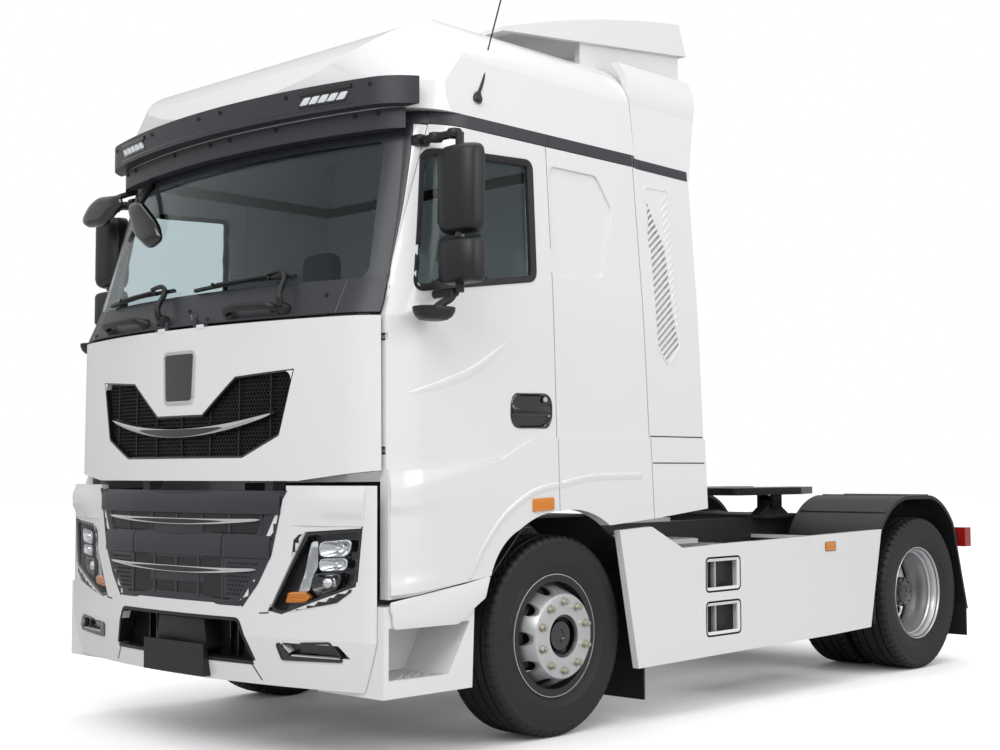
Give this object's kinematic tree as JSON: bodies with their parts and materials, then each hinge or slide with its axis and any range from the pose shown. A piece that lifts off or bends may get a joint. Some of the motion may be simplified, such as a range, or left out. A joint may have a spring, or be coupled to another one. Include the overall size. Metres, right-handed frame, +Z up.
{
  "type": "semi truck tractor unit",
  "caption": "Cab-over road tractor with a high-roof sleeper cab, tilting cab, opening doors, steering front wheels, twin rear wheels and a coupling plate.",
  "frame": {"origin": "on the ground under the middle of the vehicle's box", "axes": "+Z up, the front faces -Y, the vehicle's left side is +X"},
  "size_m": [3.05, 5.7, 3.846],
  "materials": {
    "white_paint": "gloss",
    "visor_grey": "satin",
    "black_plastic": "matt",
    "chassis_black": "satin",
    "glass": "gloss",
    "lamp_glass": "gloss",
    "lamp_red": "gloss",
    "wheel_steel": "satin",
    "tyre": "matt",
    "tread_plate": "brushed",
    "tank_grey": "satin",
    "coupling_steel": "greased",
    "rubber": "matt",
    "seat_fabric": "woven",
    "cab_trim": "matt"
  },
  "bodies": {
    "chassis": {"chassis_frame": "chassis_black", "engine": "chassis_black", "entry_steps": "white_paint", "fifth_wheel_base": "chassis_black", "fog_lamps": "lamp_glass", "front_arch_liners": "black_plastic", "front_axle": "chassis_black", "front_bumper": "white_paint", "fuel_tanks": "tank_grey", "headlamps": "lamp_glass", "lower_grille": "visor_grey", "mud_flaps": "rubber", "number_plate": "black_plastic", "rear_axle": "chassis_black", "rear_fenders": "black_plastic", "side_skirts": "white_paint", "suspension": "chassis_black", "tail_lamps": "lamp_red", "walkway": "tread_plate"},
    "cab": {"antenna": "black_plastic", "bunk": "seat_fabric", "cab_floor": "cab_trim", "cab_rear_wall": "white_paint", "cab_sides": "white_paint", "cant_rail": "black_plastic", "cowl_panel": "visor_grey", "dashboard": "cab_trim", "roof": "white_paint", "roof_wing": "white_paint", "seats": "seat_fabric", "side_fairings": "white_paint", "steering_wheel": "black_plastic", "sun_visor": "visor_grey", "windscreen": "glass", "windscreen_frame": "visor_grey", "wipers": "black_plastic"},
    "door_left": {"door_left": "white_paint", "door_glass_left": "glass", "mirror_left": "black_plastic"},
    "door_right": {"door_right": "white_paint", "door_glass_right": "glass", "mirror_right": "black_plastic"},
    "front_flap": {"front_flap": "white_paint", "upper_grille": "black_plastic"},
    "knuckle_left": {"knuckle_left": "chassis_black"},
    "knuckle_right": {"knuckle_right": "chassis_black"},
    "front_wheel_left": {"front_rim_left": "wheel_steel", "front_tyre_left": "tyre"},
    "front_wheel_right": {"front_rim_right": "wheel_steel", "front_tyre_right": "tyre"},
    "rear_wheels_left": {"rear_rims_left": "wheel_steel", "rear_tyres_left": "tyre"},
    "rear_wheels_right": {"rear_rims_right": "wheel_steel", "rear_tyres_right": "tyre"},
    "fifth_wheel": {"fifth_wheel": "coupling_steel"}
  },
  "joints": [
    {"name": "cab_tilt", "type": "hinge", "parent": "chassis", "child": "cab", "pos_m": [0, -2.732, 1.135], "axis": [1, 0, 0], "range_deg": [0, 60]},
    {"name": "door_left_swing", "type": "hinge", "parent": "cab", "child": "door_left", "pos_m": [1.185, -2.568, 1.8], "axis": [0, 0, -1], "range_deg": [0, 70]},
    {"name": "door_right_swing", "type": "hinge", "parent": "cab", "child": "door_right", "pos_m": [-1.185, -2.568, 1.8], "axis": [0, 0, 1], "range_deg": [0, 70]},
    {"name": "flap_lift", "type": "hinge", "parent": "cab", "child": "front_flap", "pos_m": [0, -2.822, 1.99], "axis": [-1, 0, 0], "range_deg": [0, 80]},
    {"name": "steer_left", "type": "hinge", "parent": "chassis", "child": "knuckle_left", "pos_m": [0.9, -1.41, 0.492], "axis": [0, 0, 1], "range_deg": [-36, 36]},
    {"name": "steer_right", "type": "hinge", "parent": "chassis", "child": "knuckle_right", "pos_m": [-0.9, -1.41, 0.492], "axis": [0, 0, 1], "range_deg": [-36, 36]},
    {"name": "front_left_spin", "type": "hinge", "parent": "knuckle_left", "child": "front_wheel_left", "pos_m": [1.015, -1.41, 0.492], "axis": [1, 0, 0], "continuous": true},
    {"name": "front_right_spin", "type": "hinge", "parent": "knuckle_right", "child": "front_wheel_right", "pos_m": [-1.015, -1.41, 0.492], "axis": [1, 0, 0], "continuous": true},
    {"name": "rear_left_spin", "type": "hinge", "parent": "chassis", "child": "rear_wheels_left", "pos_m": [0.9225, 2.12, 0.492], "axis": [1, 0, 0], "continuous": true},
    {"name": "rear_right_spin", "type": "hinge", "parent": "chassis", "child": "rear_wheels_right", "pos_m": [-0.9225, 2.12, 0.492], "axis": [1, 0, 0], "continuous": true},
    {"name": "fifth_wheel_tilt", "type": "hinge", "parent": "chassis", "child": "fifth_wheel", "pos_m": [0, 1.67, 1.078], "axis": [1, 0, 0], "range_deg": [-5, 10]}
  ],
  "couplings": [
    {"joint": "steer_right", "follows": "steer_left", "ratio": 1}
  ]
}
